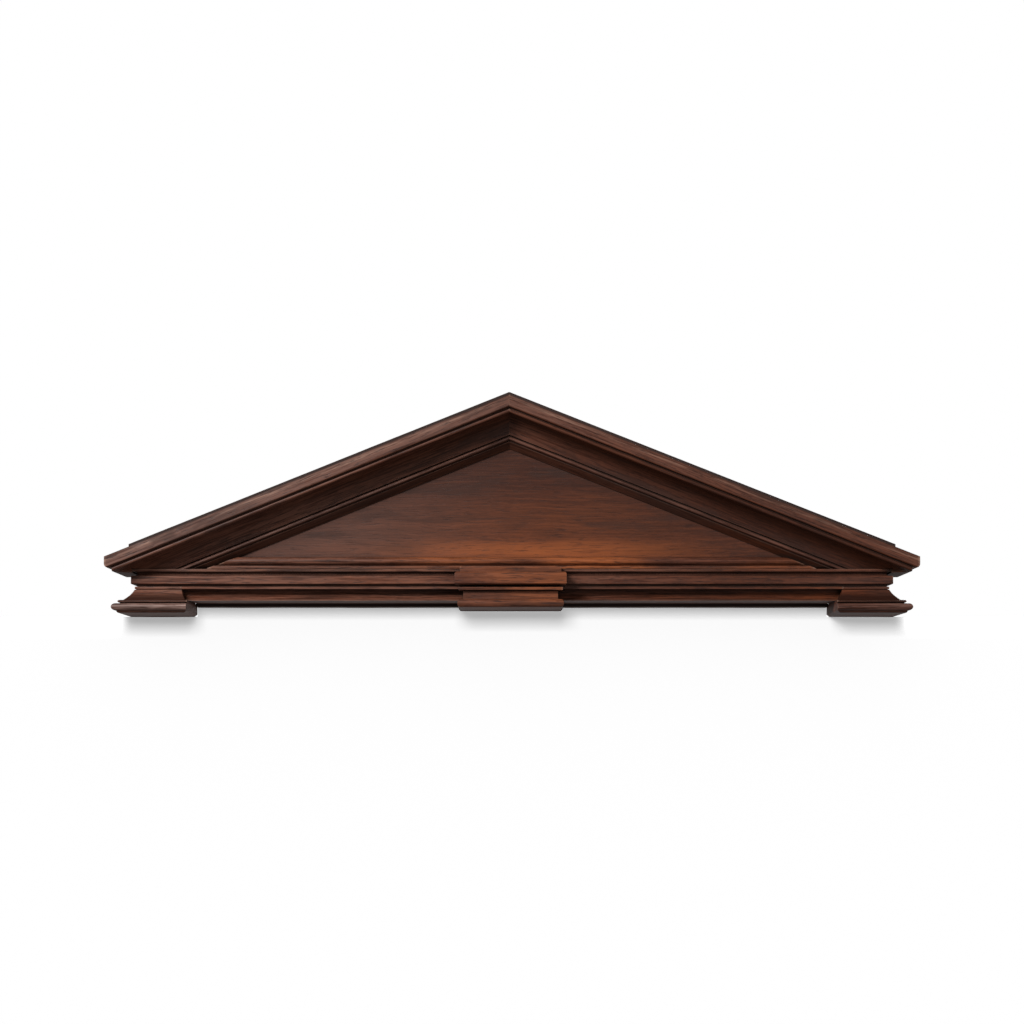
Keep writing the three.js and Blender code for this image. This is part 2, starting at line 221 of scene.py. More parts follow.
# %% [markdown]
# ## Polished mahogany
# A picture of mahogany could be wrapped round every piece, but it would stretch over the
# mouldings and repeat. Here the figure is worked out from the place of each point in the
# wood, so it runs on round every corner as in a sawn plank. The grain runs along each
# moulding, so the coordinates are first turned until X lies along it. Every noise is long in
# X and tight across. Broad bands and fine streaks set the tone, and pores draw short dark
# dashes.

# %% Colours and figure
# Some of these colours also carry painted light: the dark stain is mixed in as painted shade, the
# quirk colour is dirt with painted shade, the worn colour is wear with a painted highlight, and the
# grey stain, the dusty colour, the scuffed colour and the panel grey are partly a painted sheen.
DARK_STAIN_AND_SHADE = (0.021, 0.0070, 0.0042, 1)
STAIN_RED = (0.118, 0.032, 0.0145, 1)
STAIN_ORANGE = (0.290, 0.078, 0.021, 1)
GREY_STAIN_AND_SHEEN = (0.190, 0.082, 0.053, 1)
SMOKE = (0.036, 0.0155, 0.0108, 1)
QUIRK_DIRT_AND_SHADE = (0.018, 0.0095, 0.0066, 1)
WORN_WOOD_AND_HIGHLIGHT = (0.420, 0.255, 0.185, 1)
SCUFFS_AND_SHEEN = (0.420, 0.330, 0.300, 1)
DUST_AND_SHEEN = (0.160, 0.098, 0.082, 1)
PANEL_SHEEN = (0.108, 0.052, 0.038, 1)
RAW_DARK = (0.050, 0.028, 0.019, 1)
RAW_LIGHT = (0.170, 0.105, 0.072, 1)

# What each layer of the figure adds to the tone of the wood.
BAND_SHARE, STREAK_SHARE, FIBRE_SHARE, FLECK_SHARE = 0.36, 0.36, 0.14, 0.20
PORE_SHARE = 0.7


# The three numbers in brackets say how tight a layer is along the grain and twice across it.
def streaked(paint, along):
    bands = paint.grain(along, (2.0, 34, 34), detail=4.0, roughness=0.6, distortion=0.8)
    streaks = paint.grain(along, (12, 340, 340), detail=4.0, roughness=0.7, distortion=0.15)
    fibre = paint.grain(along, (26, 640, 640), detail=3.0, roughness=0.65)
    pores = paint.grain(along, (36, 640, 640), detail=2.0, roughness=0.6)
    smoke = paint.grain(along, (8, 42, 42), detail=4.0, roughness=0.6, distortion=0.5)
    flecks = paint.grain(along, (130, 420, 420), detail=2.0, roughness=0.6)
    tone = bands.step(0.32, 0.68) * BAND_SHARE + streaks.step(0.40, 0.60) * STREAK_SHARE
    tone = tone + fibre.step(0.36, 0.64) * FIBRE_SHARE + flecks.step(0.38, 0.62) * FLECK_SHARE
    pore_mask = pores.step(0.56, 0.64) * PORE_SHARE
    return tone, streaks, fibre, pore_mask, smoke.step(0.50, 0.66)


print("the figure has six layers of noise")

# %% [markdown]
# The quirks, which are the narrow grooves between the mouldings, are darkened: partly dirt that
# gathers there and partly painted shade. The arrises, their sharp edges, are paled: partly
# polish rubbed off and partly a painted highlight. Both could be painted by hand. Here they
# are found by testing how much of the space round a point is closed off, outside the wood for
# the quirks and inside it for the arrises, so that no groove or edge is missed. What faces
# the wall was never polished and shows the sawn wood.

# %% Dirt and painted shade, wear and painted highlight, polish
DIRT_AND_SHADE_REACH = 0.009
RUB_AND_HIGHLIGHT_REACH = 0.0030
SMOKE_STRENGTH = 0.62
POLISH_ROUGHNESS = 0.38
POLISH_SHINE = 0.22
GRAIN_DEPTH = 0.0005


def finish_wood(paint, clean, streaks, fibre, pore_mask, smoke, quirk, wear_and_highlight):
    inside = {"samples": 8, "inside": True}
    closed = paint.node("AmbientOcclusion", {"samples": 6}, {"Distance": DIRT_AND_SHADE_REACH}, "AO")
    edge = paint.node("AmbientOcclusion", inside, {"Distance": RUB_AND_HIGHLIGHT_REACH}, "AO")
    smoked = paint.mix(smoke * SMOKE_STRENGTH, clean, SMOKE)
    pored = paint.mix(pore_mask, smoked, DARK_STAIN_AND_SHADE)
    # Dirt together with painted shade in the quirks, from how closed off the space outside is.
    dirt_and_shade = (1 - closed).step(0.26, 0.76) * quirk
    # Rubbed polish together with a painted highlight on the arrises.
    rubbed_and_highlit = (1 - edge).step(0.34, 0.80) * streaks.step(0.30, 0.62) * wear_and_highlight
    dirtied_and_shaded = paint.mix(dirt_and_shade, pored, QUIRK_DIRT_AND_SHADE)
    polished = paint.mix(rubbed_and_highlit, dirtied_and_shaded, WORN_WOOD_AND_HIGHLIGHT)
    facing = paint.node("TexCoord", {}, {}, "Normal")
    rear = paint.axis(facing, "Y").step(0.75, 0.95)
    sawn = paint.mix(streaks.step(0.3, 0.7), RAW_DARK, RAW_LIGHT)
    roughness = POLISH_ROUGHNESS + fibre * 0.14 + dirt_and_shade * 0.30 + rear * 0.35
    height = streaks * 0.5 + fibre * 0.4 - pore_mask * 0.7
    relief = {"Strength": 0.45, "Distance": GRAIN_DEPTH, "Height": height}
    paint.feed(paint.shader.inputs["Base Color"], paint.mix(rear, polished, sawn))
    paint.feed(paint.shader.inputs["Roughness"], roughness)
    paint.feed(paint.shader.inputs["Normal"], paint.node("Bump", {}, relief, "Normal"))
    paint.shader.inputs["Specular IOR Level"].default_value = POLISH_SHINE
    return paint.material


print("dirt reaches", DIRT_AND_SHADE_REACH * 1000, "mm and wear", RUB_AND_HIGHLIGHT_REACH * 1000, "mm from an edge")

# %% [markdown]
# All the polished mouldings share one recipe. Each could have a material of its own, but then
# they would not look like one old piece. What differs is given with each call: where the wood
# was cut from the tree, how orange the stain is, how greyed it is in patches and by a painted
# sheen, how worn and painted-highlit the arrises are, how grimy and painted-shaded the quirks.
# The left half is painted paler and greyer, as a sheen from the lamp at the upper left, so the
# recipe also knows how far to the left a point lies.

# %% Mahogany
QUIRK_SHARE = 0.8


def mahogany(name, turn, seed, warmth=0.35, greyed_and_sheen=0.5, wear_and_highlight=0.7, ageing_and_shading=None, grime_and_shade=1.0):
    paint = Paint(name)
    position = paint.node("TexCoord", {}, {}, "Object")
    along = paint.node("Mapping", {}, {"Vector": position, "Location": seed, "Rotation": turn})
    patches = paint.grain(along, (2.6, 9, 9), detail=3.0, roughness=0.5, distortion=0.4)
    tone, streaks, fibre, pore_mask, smoke = streaked(paint, along)
    # How far to the left a point lies; it weights the painted sheen, highlights and shade.
    leftward = (paint.axis(position, "X") * -1).step(-0.45, 0.45)
    base = paint.mix(tone, DARK_STAIN_AND_SHADE, STAIN_RED)
    orange = patches.step(0.40, 0.66) * streaks.step(0.25, 0.6) * warmth
    warm = paint.mix(orange, base, STAIN_ORANGE)
    # Greying in random patches together with a painted sheen that grows to the left.
    uneven_and_sheen = leftward * 0.7 + (1 - patches).step(0.45, 0.7) * 0.4
    colour = paint.mix(streaks.step(0.36, 0.60) * uneven_and_sheen * greyed_and_sheen, warm, GREY_STAIN_AND_SHEEN)
    if ageing_and_shading is not None:
        turned = paint.node("Mapping", {}, {"Vector": position, "Rotation": turn})
        colour = ageing_and_shading(paint, colour, paint.axis(turned, "Z"), streaks, leftward)
    quirk = QUIRK_SHARE * grime_and_shade
    return finish_wood(paint, colour, streaks, fibre, pore_mask, smoke * grime_and_shade, quirk, wear_and_highlight)


turn_level = (0.0, 0.0, 0.0)
turn_rake = {"left": (0.0, pitch["left"], 0.0), "right": (0.0, -pitch["right"], 0.0)}
turn_back = (0.0, 0.0, math.pi / 2)
print("mahogany can be cut level, along both rakes and towards the wall")

# %% [markdown]
# Some pieces are aged and painted with light and shade by height. A pale line runs along the
# upper part of the raking face, rubbed wear together with a painted highlight, and the face and
# the bead are paled by dust together with a painted sheen. A dark line under the roof board is
# a painted shadow, and the hollow below the face and the splay below the bead are darkened as
# painted shade. On the feet the hollow is darkened as painted shade, and the thick round edge
# below it is paled by scuffs together with a painted sheen. Such lines could be painted, but a
# mask worked out from the height across a moulding follows it exactly from end to end. Pairs
# of numbers give where a stretch fades in or out, in metres: below the crown's top edge on the
# rakes, and above the ground on the feet.

# %% Ageing, painted highlight and painted shade by height
JOINT_FADE = (0.0006, 0.0016)
RUBBED_HIGHLIGHT_LINE, RUBBED_HIGHLIGHT_HALF = 0.0048, 0.0034
FACE_END = (0.0140, 0.0160)
HOLLOW_START = (0.0150, 0.0165)
BEAD_START, BEAD_END = (0.0505, 0.0515), (0.0560, 0.0575)
FOOT_HOLLOW = (0.0160, 0.0180), (0.0235, 0.0320)
FOOT_TORUS = (0.0035, 0.0070), (0.0135, 0.0150)
DARKEST = 0.85


def from_right_to_left(leftward, right_end, left_end):
    return leftward * (left_end - right_end) + right_end


def aged_and_shaded_rake(crest):
    def age_and_shade(paint, colour, heights, streaks, leftward):
        depth = crest - heights
        # A pale line: rubbed wear together with a painted highlight.
        line = (1 - (depth - RUBBED_HIGHLIGHT_LINE).math("ABSOLUTE") / RUBBED_HIGHLIGHT_HALF).step(0.0, 0.9)
        # A painted shadow along the top edge, under the roof board.
        joint_shadow = 1 - depth.step(*JOINT_FADE)
        bead = depth.band(BEAD_START, BEAD_END)
        # Painted shade on the splay below the bead and on the hollow.
        splay_shade = depth.step(*BEAD_END) * from_right_to_left(leftward, 0.05, 0.45)
        hollow_shade = depth.step(*HOLLOW_START) * from_right_to_left(leftward, 0.46, 0.12) * (1 - bead)
        face = (1 - depth.step(*FACE_END)) * from_right_to_left(leftward, 0.12, 0.40)
        # The face and the bead paled by dust together with a painted sheen.
        paled = paint.mix((face + bead * 0.35) * streaks.step(0.30, 0.55), colour, DUST_AND_SHEEN)
        bare_and_highlit = line * streaks.step(0.40, 0.64) * from_right_to_left(leftward, 0.24, 0.44)
        rubbed_and_highlit = paint.mix(bare_and_highlit, paled, WORN_WOOD_AND_HIGHLIGHT)
        # All the painted shade together, held below the darkest share.
        painted_shade = (hollow_shade + splay_shade + joint_shadow * 0.8).math("MINIMUM", DARKEST)
        return paint.mix(painted_shade, rubbed_and_highlit, DARK_STAIN_AND_SHADE)

    return age_and_shade


def aged_and_shaded_foot(paint, colour, heights, streaks, leftward):
    # Scuffs together with a painted sheen on the round edge, more to the left.
    scuffs_and_sheen = heights.band(*FOOT_TORUS) * streaks.step(0.34, 0.62)
    scuffed_and_sheened = paint.mix(scuffs_and_sheen * from_right_to_left(leftward, 0.13, 0.45), colour, SCUFFS_AND_SHEEN)
    # The lower hollow of the foot is darkened as painted shade.
    return paint.mix(heights.band(*FOOT_HOLLOW) * 0.86, scuffed_and_sheened, DARK_STAIN_AND_SHADE)


print("the rubbed line lies", RUBBED_HIGHLIGHT_LINE * 1000, "mm below the crown's top edge")

# %% [markdown]
# The tympanum is the broad board inside the triangle, so its figure shows most. It could share
# the recipe of the mouldings, but its figure wanders up and down, and a warm patch sits low in
# the middle, where the photograph shows it. So it has a recipe of its own. Its left side is
# greyed as a painted sheen, and it is darkened towards the top and the right as painted shade.
# All its places are in metres.

# %% Tympanum figure
FIGURE_SWING = 0.022
PATCH_MIDDLE, PATCH_REACH = 0.02, 0.40
SHEEN_LEFT = (-0.05, 0.26)
SHADE_TOP = (0.095, 0.21)
SHADE_RIGHT = (0.05, 0.30)


def below(heights, wander, top, swing, fade):
    return ((top + wander * swing - heights) / fade).step(0.0, 1.0)


def panel_wood(name):
    paint = Paint(name)
    position = paint.node("TexCoord", {}, {}, "Object")
    wander = paint.grain(position, (3.2, 8, 8), detail=3.0, roughness=0.55)
    lifted = paint.node("CombineXYZ", {}, {"Z": (wander - 0.5) * FIGURE_SWING})
    moved = paint.node("VectorMath", {"operation": "ADD"}, [position, lifted])
    tone, streaks, fibre, pore_mask, smoke = streaked(paint, moved)
    across, heights = paint.axis(position, "X"), paint.axis(position, "Z")
    centre = (1 - (across - PATCH_MIDDLE).math("ABSOLUTE") / PATCH_REACH).step(0.0, 0.9)
    low_down = below(heights, wander, top=0.095, swing=0.040, fade=0.020)
    ruddy = below(heights, wander, top=0.19, swing=0.05, fade=0.08)
    glow = centre * (low_down * 0.60 + ruddy * 0.20) * streaks.step(0.10, 0.50)
    base = paint.mix(tone * 0.65 + 0.11, DARK_STAIN_AND_SHADE, STAIN_RED)
    warm = paint.mix(glow + streaks.step(0.52, 0.72) * 0.18, base, STAIN_ORANGE)
    # A painted sheen greys the left side.
    left = (across * -1).step(*SHEEN_LEFT)
    sheened_panel = paint.mix(left * (streaks * 0.50 + 0.30), warm, PANEL_SHEEN)
    # Painted shade: darker towards the top and towards the right.
    shade = heights.step(*SHADE_TOP) * 0.38 + across.step(*SHADE_RIGHT) * 0.16
    colour = paint.mix(shade, sheened_panel, DARK_STAIN_AND_SHADE)
    smoke = smoke * (1 - glow)
    return finish_wood(paint, colour, streaks, fibre, pore_mask * 0.7, smoke, quirk=0.85, wear_and_highlight=0.0)


print("the warm patch reaches", PATCH_REACH, "m to each side")

# %% [markdown]
# The hidden backs were never polished. They are dry, paler and dusty, with saw marks across.
# They could be left plain, but the model can be turned round. The roof boards have the same
# wood, except that their front faces are darkened and draw a dark line over the raking face.

# %% Raw backs
DUST = (0.300, 0.270, 0.235, 1)
DUSTING = 0.4
RAW_ROUGHNESS = 0.78


def raw_wood(name, turn):
    paint = Paint(name)
    position = paint.node("TexCoord", {}, {}, "Object")
    along = paint.node("Mapping", {}, {"Vector": position, "Rotation": turn})
    bands = paint.grain(along, (3, 60, 60), detail=4.0, roughness=0.6, distortion=0.5)
    fibre = paint.grain(along, (20, 600, 600), detail=3.0, roughness=0.6)
    dust = paint.grain(position, (7, 7, 7), detail=4.0, roughness=0.6)
    marks = {"Vector": along, "Scale": 95.0, "Distortion": 2.0}
    saw = paint.node("TexWave", {"wave_type": "BANDS"}, marks, "Fac")
    tone = bands.step(0.3, 0.7) * 0.6 + fibre.step(0.3, 0.7) * 0.4
    base = paint.mix(tone, RAW_DARK, RAW_LIGHT)
    paled = paint.mix(dust.step(0.45, 0.75) * DUSTING, base, DUST)
    facing = paint.node("TexCoord", {}, {}, "Normal")
    front = (paint.axis(facing, "Y") * -1).step(0.6, 0.9)
    height = fibre * 0.6 + saw * 0.25
    relief = {"Strength": 0.5, "Distance": GRAIN_DEPTH, "Height": height}
    paint.feed(paint.shader.inputs["Base Color"], paint.mix(front, paled, DARK_STAIN_AND_SHADE))
    paint.feed(paint.shader.inputs["Roughness"], RAW_ROUGHNESS + fibre * 0.12)
    paint.feed(paint.shader.inputs["Normal"], paint.node("Bump", {}, relief, "Normal"))
    return paint.material


print("raw wood is ready")

# %% [markdown]
# ## From a measured solid to a worn piece of wood
# Each measured piece has razor edges. On the real one every arris is a little rounded and no
# surface is quite straight. Modelling every piece again would lose its measured size. So a
# copy is merged into one skin, its flat triangles are joined into whole faces, the arrises
# are bevelled, and the piece is cut across every few millimetres so that a slow noise can
# move the skin by a tenth of a millimetre or so.

# %% Worn copy of a piece
ARRIS = 0.00045
CUT_SPACING = 0.012
WAVER = 0.00016
SLOW_WAVES, QUICK_WAVES = 22.0, 140.0
FLAT_WITHIN = math.radians(0.4)
BEVEL_FROM = math.radians(32)


def merged_copy(node):
    mesh = frame["nodes"][node].data.copy()
    body = bmesh.new()
    body.from_mesh(mesh)
    bmesh.ops.remove_doubles(body, verts=body.verts, dist=1e-6)
    bmesh.ops.dissolve_limit(body, angle_limit=FLAT_WITHIN, verts=body.verts, edges=body.edges)
    body.to_mesh(mesh)
    body.free()
    return mesh


def settled(carrier):
    depsgraph = bpy.context.evaluated_depsgraph_get()
    mesh = bpy.data.meshes.new_from_object(carrier.evaluated_get(depsgraph))
    bpy.data.objects.remove(carrier)
    return mesh


def bevelled(mesh, width):
    carrier = in_scene("carrier", mesh)
    bevel = carrier.modifiers.new("arris", "BEVEL")
    bevel.width = width
    bevel.segments = 2
    bevel.limit_method = "ANGLE"
    bevel.angle_limit = BEVEL_FROM
    bevel.use_clamp_overlap = True
    return settled(carrier)


def worn(mesh, run_axis):
    body = bmesh.new()
    body.from_mesh(mesh)
    normal = Vector((0, 0, 0))
    normal[run_axis] = 1.0
    places = [v.co[run_axis] for v in body.verts]
    start, end = min(places), max(places)
    cuts = int((end - start) / CUT_SPACING)
    for i in range(1, cuts):
        where = normal * (start + (end - start) * i / cuts)
        geometry = body.verts[:] + body.edges[:] + body.faces[:]
        bmesh.ops.bisect_plane(body, geom=geometry, plane_co=where, plane_no=normal, dist=1e-6)
    body.normal_update()
    for vertex in body.verts:
        slow = noise.noise(vertex.co * SLOW_WAVES)
        quick = noise.noise(vertex.co * QUICK_WAVES)
        vertex.co += vertex.normal * (slow * 0.6 + quick * 0.4) * WAVER
    body.to_mesh(mesh)
    body.free()


print("arrises are rounded by", ARRIS * 1000, "mm and skins waver by up to", WAVER * 1000, "mm")

# %% [markdown]
# At the apex the two halves of the crown meet in a mitre, and so do the roof boards. The
# measured halves stand a glue joint apart, and the white ground would shine through it as a
# bright line. A strip could be put behind the joint, but the photograph shows none. So the
# copies are drawn together. Then each piece takes its material, rides the one body of the
# model and takes the place of its measured piece.

# %% Close the mitres and finish a piece
JOINT = 0.0004
CLOSED_SHARE = 0.05
SHARP_FROM = math.radians(50)
apex_x = (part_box("rake_crown_left")[1][0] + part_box("rake_crown_right")[0][0]) / 2


def close_mitre(mesh):
    for vertex in mesh.vertices:
        if abs(vertex.co.x - apex_x) < JOINT:
            vertex.co.x = apex_x + math.copysign(JOINT * CLOSED_SHARE, vertex.co.x - apex_x)


def finish_piece(name, mesh, material, node):
    piece = in_scene(name, mesh)
    mesh.materials.clear()
    mesh.materials.append(material)
    for face in mesh.polygons:
        face.use_smooth = True
        face.material_index = 0
    mesh.set_sharp_from_angle(angle=SHARP_FROM)
    weighted = piece.modifiers.new("flat faces stay flat", "WEIGHTED_NORMAL")
    weighted.keep_sharp = True
    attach(piece, "root")
    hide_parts(node)


def dress(node, material, run_axis=0, arris=ARRIS):
    mesh = bevelled(merged_copy(node), arris)
    worn(mesh, run_axis)
    if node.startswith(("rake_crown", "roof_board")):
        close_mitre(mesh)
    finish_piece(node + "_wood", mesh, material, node)
    print(node, "has", len(mesh.polygons), "faces")


print("the mitres meet", round(apex_x * 1000, 1), "mm from the middle")

# %% [markdown]
# ## Straight runs from one rule
# A bed mould is made by one rule: push a profile along a line, then scribe both ends to the
# slopes they meet. It could be dressed like the other pieces, but Geometry Nodes can hold the
# rule itself. The profile is the cross section of the measured piece, each corner is rounded
# by the arris, and the sweep is one metre long at first. A point's share of that metre then
# says how far it lies between the scribed ends, which move along in proportion to height.
# Last the skin wavers and the run takes its slope.

# %% The inputs of the rule
sweep = bpy.data.node_groups.new("swept moulding", "GeometryNodeTree")
inputs = {}
for name, kind, value in (
    ("Profile", "Geometry", None),
    ("Start", "Float", -0.4),
    ("Start Lean", "Float", 0.0),
    ("End", "Float", 0.4),
    ("End Lean", "Float", 0.0),
    ("Cuts", "Int", 60),
    ("Arris", "Float", ARRIS),
    ("Waver", "Float", WAVER),
    ("Seed", "Int", 7),
    ("Slope", "Float", 0.0),
    ("Wood", "Material", None),
):
    kind = "NodeSocket" + kind
    socket = sweep.interface.new_socket(name=name, in_out="INPUT", socket_type=kind)
    if value is not None:
        socket.default_value = value
    inputs[name] = socket.identifier
sweep.interface.new_socket(name="Moulding", in_out="OUTPUT", socket_type="NodeSocketGeometry")
entry = sweep.nodes.new("NodeGroupInput").outputs
leave = sweep.nodes.new("NodeGroupOutput")
print("the rule has the inputs", ", ".join(inputs))


# %% Round the profile and sweep it
def tree_node(kind, settings=None, feeds=None):
    made = sweep.nodes.new(kind)
    for key, value in (settings or {}).items():
        setattr(made, key, value)
    for key, value in (feeds or {}).items():
        if isinstance(value, bpy.types.NodeSocket):
            sweep.links.new(value, made.inputs[key])
        else:
            made.inputs[key].default_value = value
    return made


def tree_math(operation, first, second):
    return tree_node("ShaderNodeMath", {"operation": operation}, {0: first, 1: second}).outputs[0]


section = tree_node("GeometryNodeMeshToCurve", None, {"Mesh": entry["Profile"]})
rounded = tree_node("GeometryNodeFilletCurve", {"mode": "POLY"}, {
    "Curve": section.outputs["Curve"],
    "Count": 2,
    "Radius": entry["Arris"],
    "Limit Radius": True,
})
line = tree_node("GeometryNodeCurvePrimitiveLine", None, {"Start": (0, 0, 0), "End": (0, 0, 1)})
stations = tree_node("GeometryNodeResampleCurve", None, {
    "Curve": line.outputs["Curve"],
    "Count": tree_math("ADD", entry["Cuts"], 1.0),
})
swept = tree_node("GeometryNodeCurveToMesh", None, {
    "Curve": stations.outputs["Curve"],
    "Profile Curve": rounded.outputs["Curve"],
    "Fill Caps": True,
})
print("the sweep has", len(sweep.nodes), "nodes so far")

# %% Scribe the ends, waver the skin and lay the run on its slope
SWEEP_WAVES = 45.0
spot = tree_node("GeometryNodeInputPosition").outputs["Position"]
axes = tree_node("ShaderNodeSeparateXYZ", None, {"Vector": spot}).outputs
start, end = (
    tree_math("ADD", entry[name], tree_math("MULTIPLY", axes["Y"], entry[name + " Lean"]))
    for name in ("Start", "End")
)
length = tree_math("SUBTRACT", end, start)
along = tree_math("ADD", start, tree_math("MULTIPLY", length, axes["Z"]))
laid = tree_node("ShaderNodeCombineXYZ", None, {"X": along, "Y": axes["X"], "Z": axes["Y"]})
scribed = tree_node("GeometryNodeSetPosition", None, {
    "Geometry": swept.outputs["Mesh"],
    "Position": laid.outputs["Vector"],
})
seeded = tree_node("ShaderNodeVectorMath", {"operation": "ADD"}, {0: spot, 1: entry["Seed"]})
waves = tree_node("ShaderNodeTexNoise", None, {
    "Vector": seeded.outputs["Vector"],
    "Scale": SWEEP_WAVES,
})
swing = tree_math("SUBTRACT", waves.outputs["Fac"], 0.5)
facing = tree_node("GeometryNodeInputNormal")
offset = tree_node("ShaderNodeVectorMath", {"operation": "SCALE"}, {
    "Vector": facing.outputs["Normal"],
    "Scale": tree_math("MULTIPLY", swing, entry["Waver"]),
})
wavered = tree_node("GeometryNodeSetPosition", None, {
    "Geometry": scribed.outputs["Geometry"],
    "Offset": offset.outputs["Vector"],
})
turn = tree_node("ShaderNodeCombineXYZ", None, {"Y": entry["Slope"]})
sloped = tree_node("GeometryNodeTransform", None, {
    "Geometry": wavered.outputs["Geometry"],
    "Rotation": turn.outputs["Vector"],
})
realized = tree_node("GeometryNodeRealizeInstances", None, {"Geometry": sloped.outputs["Geometry"]})
coated = tree_node("GeometryNodeSetMaterial", None, {
    "Geometry": realized.outputs["Geometry"],
    "Material": entry["Wood"],
})
sweep.links.new(coated.outputs["Geometry"], leave.inputs["Moulding"])
print("the whole sweep has", len(sweep.nodes), "nodes and", len(inputs), "inputs")

# %% [markdown]
# To use the rule, the measured piece is laid level, cut through its middle to get the
# profile, and the places where its corners end on each side give the two scribed ends. The
# profile could be drawn again by hand, but a cut through the measured piece is always right.


# %% Profile and ends of a measured piece
def profile_and_ends(node, slope):
    mesh = merged_copy(node)
    mesh.transform(Matrix.Rotation(-slope, 4, "Y"))
    spots = {}
    for vertex in mesh.vertices:
        spots.setdefault((round(vertex.co.y, 5), round(vertex.co.z, 5)), []).append(vertex.co.x)
    lines = [(height, min(runs), max(runs)) for (_, height), runs in spots.items() if len(runs) > 1]
    lowest, highest = min(lines), max(lines)
    rise = highest[0] - lowest[0]
    leans = [(highest[i] - lowest[i]) / rise for i in (1, 2)]
    starts = [lowest[i] - leans[i - 1] * lowest[0] for i in (1, 2)]
    body = bmesh.new()
    body.from_mesh(mesh)
    across = Vector((sum(lowest[1:]) / 2, 0, 0))
    everything = body.verts[:] + body.edges[:] + body.faces[:]
    settings = {"plane_co": across, "plane_no": (1, 0, 0), "clear_inner": True, "clear_outer": True}
    bmesh.ops.bisect_plane(body, geom=everything, dist=1e-7, **settings)
    for vertex in body.verts:
        vertex.co = (vertex.co.y, vertex.co.z, 0.0)
    profile = bpy.data.meshes.new(node + "_profile")
    body.to_mesh(profile)
    body.free()
    return profile, starts, leans, lowest[2] - lowest[1]


# %% Run the rule
# The noise node swings half as far as the noise that wears the other pieces, so it is doubled.
def sweep_piece(node, material, seed, slope=0.0):
    profile, starts, leans, length = profile_and_ends(node, slope)
    carrier = in_scene("carrier", profile)
    rule = carrier.modifiers.new("swept moulding", "NODES")
    rule.node_group = sweep
    sizes = {
        "Start": starts[0],
        "End": starts[1],
        "Start Lean": leans[0],
        "End Lean": leans[1],
        "Cuts": int(length / CUT_SPACING),
        "Arris": ARRIS,
        "Waver": WAVER * 2,
        "Seed": seed,
        "Slope": slope,
        "Wood": material,
    }
    for name, value in sizes.items():
        rule[inputs[name]] = value
    mesh = settled(carrier)
    shell = bmesh.new()
    shell.from_mesh(mesh)
    bmesh.ops.recalc_face_normals(shell, faces=shell.faces)
    shell.to_mesh(mesh)
    shell.free()
    finish_piece(node + "_wood", mesh, material, node)
    print(node, "swept with", len(profile.vertices), "corners and", len(mesh.polygons), "faces")


# %% [markdown]
# ## Dressing the pieces
# Every piece gets a wood cut from another part of the tree: the same recipe, moved by a seed,
# with the grain turned along its length. One block of wood could serve for all, but its bands
# would run on from piece to piece, which no joiner could cut. First come the level pieces:
# the base board, the half-round above it, the block in the centre, the coves and the feet.

# %% Level mouldings
board_wood = mahogany("mahogany_base", turn_level, (3.1, 0.4, 0.9), greyed_and_sheen=0.95, wear_and_highlight=0.9)
bead_wood = mahogany(
    "mahogany_bed_mould", turn_level, (7.7, 2.1, 4.4), warmth=1.3, greyed_and_sheen=0.6, wear_and_highlight=0.8, grime_and_shade=0.4
)
tablet_wood = mahogany("mahogany_centre", turn_level, (1.2, 5.3, 2.6), warmth=0.6, greyed_and_sheen=0.55)
cove_wood = mahogany("mahogany_coves", turn_level, (4.4, 6.2, 1.9), greyed_and_sheen=0.7, wear_and_highlight=0.1)
foot_wood = mahogany(
    "mahogany_feet", turn_level, (5.8, 3.9, 7.2), warmth=0.2, greyed_and_sheen=1.0, wear_and_highlight=1.0, ageing_and_shading=aged_and_shaded_foot
)
dress("base_board", board_wood)
sweep_piece("bed_mould", bead_wood, seed=3)
dress("centre_bracket", tablet_wood)
dress("centre_tablet", tablet_wood)
for side in ("left", "right"):
    dress("foot_" + side, foot_wood)
    dress("lower_cove_" + side, cove_wood)

# %% [markdown]
# The raking crown and the bed mould under it lie along the slope. The returns carry the crown
# round the tips to the wall, so their grain runs that way, and their edges are the most
# knocked. Both sides could share one wood, but the grain has to follow each slope, so each
# side is cut from its own.

# %% Raking mouldings and returns
CROWN_ARRIS, RETURN_ARRIS = 0.0009, 0.0014
ALONG_Y = 1
for side, slope, seed in (("left", -pitch["left"], 5), ("right", pitch["right"], 11)):
    corners = [vertex.co for vertex in frame["nodes"]["rake_crown_" + side].data.vertices]
    peak = max(corners, key=lambda corner: corner.z)
    age_and_shade = aged_and_shaded_rake(peak.x * math.sin(slope) + peak.z * math.cos(slope))
    cut, turned = (seed * 0.7, 8.1, 1.7), turn_rake[side]
    rake_wood = mahogany("mahogany_rake_" + side, turned, cut, 0.12, 0.75, 0.5, age_and_shade)
    mould_wood = mahogany("mahogany_rake_mould_" + side, turned, cut, 0.25, 0.6, 0.12, age_and_shade)
    return_wood = mahogany("mahogany_return_" + side, turn_back, (seed * 0.4, 1.6, 3.3), 0.25, 0.6)
    dress("rake_crown_" + side, rake_wood, arris=CROWN_ARRIS)
    sweep_piece("rake_mould_" + side, mould_wood, seed, slope)
    dress("crown_return_" + side, return_wood, ALONG_Y, RETURN_ARRIS)

# %% [markdown]
# Last come the tympanum, the rail under the base board at the back, and the thin boards on
# top. They need no recipe beyond those above.

# %% Panel and hidden boards
dress("tympanum_panel", panel_wood("mahogany_panel"))
dress("back_rail", raw_wood("raw_rail", turn_level))
for side in ("left", "right"):
    dress("roof_board_" + side, raw_wood("raw_roof_" + side, turn_rake[side]))

# %% [markdown]
# ## Light and stage
# The photograph has a soft light from the upper left on a white ground. A white world could
# light everything, but it would wash the undersides out. So the world is white only to the
# camera and weak to the wood, and a large lamp at the upper left models the mouldings. A weak
# one fills from the right, and one behind shows the back in other views.

